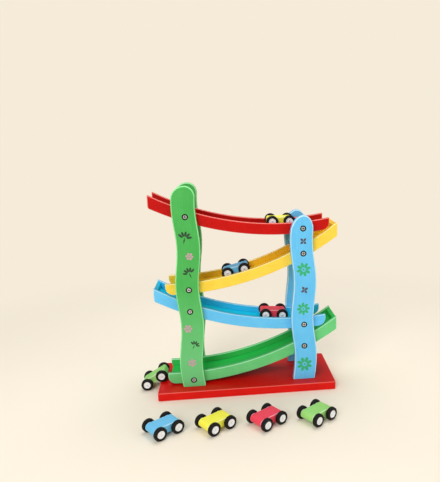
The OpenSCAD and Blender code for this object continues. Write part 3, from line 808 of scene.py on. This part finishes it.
def printMotif(name, tree, layers, places, ink, s):
    # the layers of one motif on all its places, as one piece
    whole = bmesh.new()
    for petals, corners, fan, length, width, start in layers:
        points = bpy.data.meshes.new(name)
        points.from_pydata([(x * mm, -s["face"] * mm, z * mm) for x, z, turn, size in places], [], [])
        points.attributes.new("turn", "FLOAT_VECTOR", "POINT")
        points.attributes.new("size", "FLOAT", "POINT")  # both are made before either is filled
        turns, sizes = points.attributes["turn"].data, points.attributes["size"].data
        for spin, scale, (x, z, turn, size) in zip(turns, sizes, places):
            spin.vector = (math.pi / 2, math.radians(turn), 0)
            scale.value = size
        layer = newObject(name, points)
        applyTree(layer, tree, {
            "Petals": petals, "Petal Corners": corners, "Fan": math.radians(fan), "Petal Length": length * mm,
            "Petal Width": width * mm, "Petal Start": start * mm, "Film": s["film"] * mm, "Ink": ink})
        bake(layer)
        whole.from_mesh(layer.data)
        bpy.data.objects.remove(layer)
    mesh = bpy.data.meshes.new(name)
    whole.to_mesh(mesh)
    whole.free()
    mend(mesh, smooth=False)
    coatAll(mesh, ink)
    return newObject(name, mesh)


def makePrints(places, s):
    tree = motifTree()
    for side, motifs in places.items():
        middle = screwShape[side + "Post"]
        for motif, spots in motifs.items():
            onPost = [(middle + dx, z, turn, size) for dx, z, turn, size in spots]
            piece = printMotif(f"{side}_front_{motif}Print", tree, s[motif], onPost, printInks[motif], s)
            hand(piece, "toy", side + "_post_paint")


makePrints(printPlaces, printShape)
print("prints made")


# Cars: a rounded wooden body, two steel axles and four rubber-tyred hubs
carShape = {
    "length": 36, "width": 20, "height": 10, "belly": 4.5, "tail": 3, "hem": 1.5,
    "cornerSteps": 12, "edge": 0.9, "edgeSteps": 4,
    "wheelFace": 11, "tyreRadius": 8, "tyreWidth": 5, "shoulder": 1.2, "shoulderSteps": 5,
    "hubRadius": 4.6, "hubRounding": 0.25, "rim": 0.8, "dish": 0.9, "boss": 1.9, "spacer": 0.6, "fit": 0.03,
    "axle": 1.0, "axleBevel": 0.3, "axleProud": 0.35,
}
cars = [  # each name starts with the car's colour
    "yellow_track_car", "blue_track_car", "red_track_car", "green_exit_car",
    "blue_floor_car", "yellow_floor_car", "red_floor_car", "green_floor_car",
]


def roundedOutline(low, high, radii, steps):
    # corners in the order low left, low right, top right, top left
    centres = [(low[0] + radii[0], low[1] + radii[0]), (high[0] - radii[1], low[1] + radii[1]),
               (high[0] - radii[2], high[1] - radii[2]), (low[0] + radii[3], high[1] - radii[3])]
    points = []
    for corner, ((x, z), r) in enumerate(zip(centres, radii)):
        start = math.pi + corner * math.pi / 2
        for i in range(steps + 1):
            a = start + i / steps * math.pi / 2
            points.append((x + r * math.cos(a), z + r * math.sin(a)))
    return points


def carBodyMesh(s):
    nose = s["height"] / 2
    outline = roundedOutline((-s["length"] / 2, -s["belly"]), (s["length"] / 2, s["height"] - s["belly"]),
                             (s["hem"], nose, nose, s["tail"]), s["cornerSteps"])
    half = s["width"] / 2
    count = len(outline)
    points = [(x * mm, y * mm, z * mm) for y in (-half, half) for x, z in outline]
    faces = [tuple(range(count)), tuple(range(2 * count - 1, count - 1, -1))]
    faces += [(i, i + count, (i + 1) % count + count, (i + 1) % count) for i in range(count)]
    mesh = bpy.data.meshes.new("carBody")
    mesh.from_pydata(points, [], faces)
    mend(mesh)
    mesh.materials.append(None)
    piece = newObject("carBodyPattern", mesh)
    easeEdges(piece, s["edge"], s["edgeSteps"])
    mesh = piece.data
    bpy.data.objects.remove(piece)
    return mesh


def carFrame(car):
    # a car's own axes, from the middles of its two axles in the frame
    middles = [sum(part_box(f"{car}_{end}_hubs"), Vector()) / 2 for end in ("front", "rear")]
    forward = (middles[0] - middles[1]).normalized()
    across = Vector((0, 0, 1)).cross(forward).normalized()
    turn = Matrix((forward, across, forward.cross(across))).transposed().to_4x4()
    spots = {"body": (middles[0] + middles[1]) / 2, "front": middles[0], "rear": middles[1]}
    return {name: Matrix.Translation(spot) @ turn for name, spot in spots.items()}


def moved(name, mesh, place):
    # a copy of a pattern's mesh with its place in its points
    copy = mesh.copy()
    copy.transform(place)
    return newObject(name, copy)


def wheelParts(s):
    # for each part: its half section, ring or not, places, edge rounding, finish, slot and its node's ending
    top = s["tyreWidth"]
    dish = top - s["dish"]
    rim = s["hubRadius"] - s["rim"]
    bore = s["axle"] + s["fit"]
    tyre = roundedOutline((s["hubRadius"] + s["fit"], 0), (s["tyreRadius"], top),
                          [s["shoulder"] / 2, s["shoulder"], s["shoulder"], s["shoulder"] / 2],
                          s["shoulderSteps"])
    hub = [(bore, -s["spacer"]), (s["boss"], -s["spacer"]), (s["boss"], 0), (s["hubRadius"], 0),
           (s["hubRadius"], top), (rim, top), (rim, dish), (s["boss"], dish), (s["boss"], top), (bore, top)]
    reach = s["wheelFace"] + top - s["dish"] / 2 + s["axleProud"]
    neck = s["axle"] - s["axleBevel"]
    shoulder = reach - s["axleBevel"]
    rod = [(0, -reach), (neck, -reach), (s["axle"], -shoulder),
           (s["axle"], shoulder), (neck, reach), (0, reach)]
    pair = [((0, side * s["wheelFace"], 0), (0, side, 0)) for side in (-1, 1)]
    return {
        "tyrePair": (tyre, True, pair, 0.0, tyreRubber, "tyre_rubber", "tyres"),
        "hubPair": (hub, True, pair, s["hubRounding"], hubPlastic, "hub_plastic", "hubs"),
        "axle": (rod, False, [((0, 0, 0), (0, 1, 0))], 0.0, zincSteel, "hub_plastic", None),
    }


def makeCars(s):
    tree = turnedTree("wheelPair")
    patterns = {}
    for part, (points, ring, places, rounding, finish, slot, ending) in wheelParts(s).items():
        section = sectionObject(part + "Section", points, ring)
        patterns[part] = (turnedPieces(part, tree, section, places, rounding, finish), slot, ending)
        bpy.data.objects.remove(section)
    bodyMesh = carBodyMesh(s)
    for car in cars:
        colour = car.split("_")[0]
        spots = carFrame(car)
        wood = moved(car + "_enamelledBody", bodyMesh, spots["body"])
        coatAll(wood.data, carPaint[colour])
        hand(wood, car, colour + "_car_paint", car + "_body")
        for end in ("front", "rear"):
            for part, (pattern, slot, ending) in patterns.items():
                piece = moved(f"{car}_{end}_{part}", pattern.data, spots[end])
                nodes = [f"{car}_{end}_{ending}"] if ending else []
                hand(piece, f"{car}_{end}_wheels", slot, *nodes)
    for pattern, slot, ending in patterns.values():
        bpy.data.objects.remove(pattern)


makeCars(carShape)
print("cars made")


# Studio: a pale floor and soft lamps
studio = {
    "floor": "#F6EBD9", "floorRoughness": 0.9, "floorSpecular": 0.1,
    "floorReach": 4.0, "fade": (0.32, 0.75),  # metres from the middle
    "lamps": {  # place, aim and width in metres, watts
        "keySoftbox": ((-0.55, -1.25, 0.95), (0.0, 0.0, 0.10), 0.9, 14),
        "topSoftbox": ((0.05, 0.35, 1.15), (0.0, 0.0, 0.10), 0.9, 8),
        "fillSoftbox": ((1.15, -0.75, 0.45), (0.0, 0.0, 0.12), 0.9, 4),
    },
    "sky": 0.35,
}


def backgroundPaper(s):
    # far from the toy the paper is a plain glow of its own colour, so that no horizon shows
    paper = bpy.data.materials.new("backgroundPaper")
    paper.use_nodes = True
    tree = paper.node_tree
    shader = tree.nodes["Principled BSDF"]
    shader.inputs["Base Color"].default_value = linear(s["floor"])
    shader.inputs["Roughness"].default_value = s["floorRoughness"]
    shader.inputs["Specular IOR Level"].default_value = s["floorSpecular"]
    place = addNode(tree, "ShaderNodeTexCoord").outputs["Object"]
    far = addNode(tree, "ShaderNodeVectorMath", {0: place}, operation="LENGTH").outputs["Value"]
    fade = addNode(tree, "ShaderNodeMapRange", {
        "Value": far, "From Min": s["fade"][0], "From Max": s["fade"][1]},
        interpolation_type="SMOOTHSTEP").outputs[0]
    seen = addNode(tree, "ShaderNodeLightPath").outputs["Is Camera Ray"]
    share = addNode(tree, "ShaderNodeMath", {0: fade, 1: seen}, operation="MULTIPLY").outputs[0]
    glow = addNode(tree, "ShaderNodeEmission", {"Color": linear(s["floor"]), "Strength": 1.0}).outputs[0]
    both = addNode(tree, "ShaderNodeMixShader", {0: share, 1: shader.outputs[0], 2: glow}).outputs[0]
    tree.links.new(both, tree.nodes["Material Output"].inputs[0])
    return paper


def makeRoom(s):
    # the room lights the toy evenly, and the camera sees it in the paper's colour
    room = bpy.data.worlds.new("paleRoom")
    bpy.context.scene.world = room
    room.use_nodes = True
    tree = room.node_tree
    tree.nodes.clear()
    light = addNode(tree, "ShaderNodeBackground", {"Color": (1, 1, 1, 1), "Strength": s["sky"]})
    paint = addNode(tree, "ShaderNodeBackground", {"Color": linear(s["floor"]), "Strength": 1.0})
    seen = addNode(tree, "ShaderNodeLightPath").outputs["Is Camera Ray"]
    both = addNode(tree, "ShaderNodeMixShader", {0: seen, 1: light.outputs[0], 2: paint.outputs[0]})
    addNode(tree, "ShaderNodeOutputWorld", {"Surface": both.outputs[0]})


def makeStudio(s):
    reach = s["floorReach"]
    corners = [(-reach, -reach, 0), (reach, -reach, 0), (reach, reach, 0), (-reach, reach, 0)]
    mesh = bpy.data.meshes.new("floor")
    mesh.from_pydata(corners, [], [(0, 1, 2, 3)])
    mesh.materials.append(backgroundPaper(s))
    newObject("studioFloor", mesh)
    for name, (place, aim, width, watts) in s["lamps"].items():
        lamp = bpy.data.lights.new(name, "AREA")
        lamp.shape = "SQUARE"
        lamp.size = width
        lamp.energy = watts
        holder = newObject(name, lamp)
        holder.location = place
        holder.rotation_euler = (Vector(aim) - Vector(place)).to_track_quat("-Z", "Y").to_euler()
    makeRoom(s)
    bpy.context.scene.view_settings.view_transform = "Standard"


makeStudio(studio)
print("studio made")

bpy.context.view_layer.update()
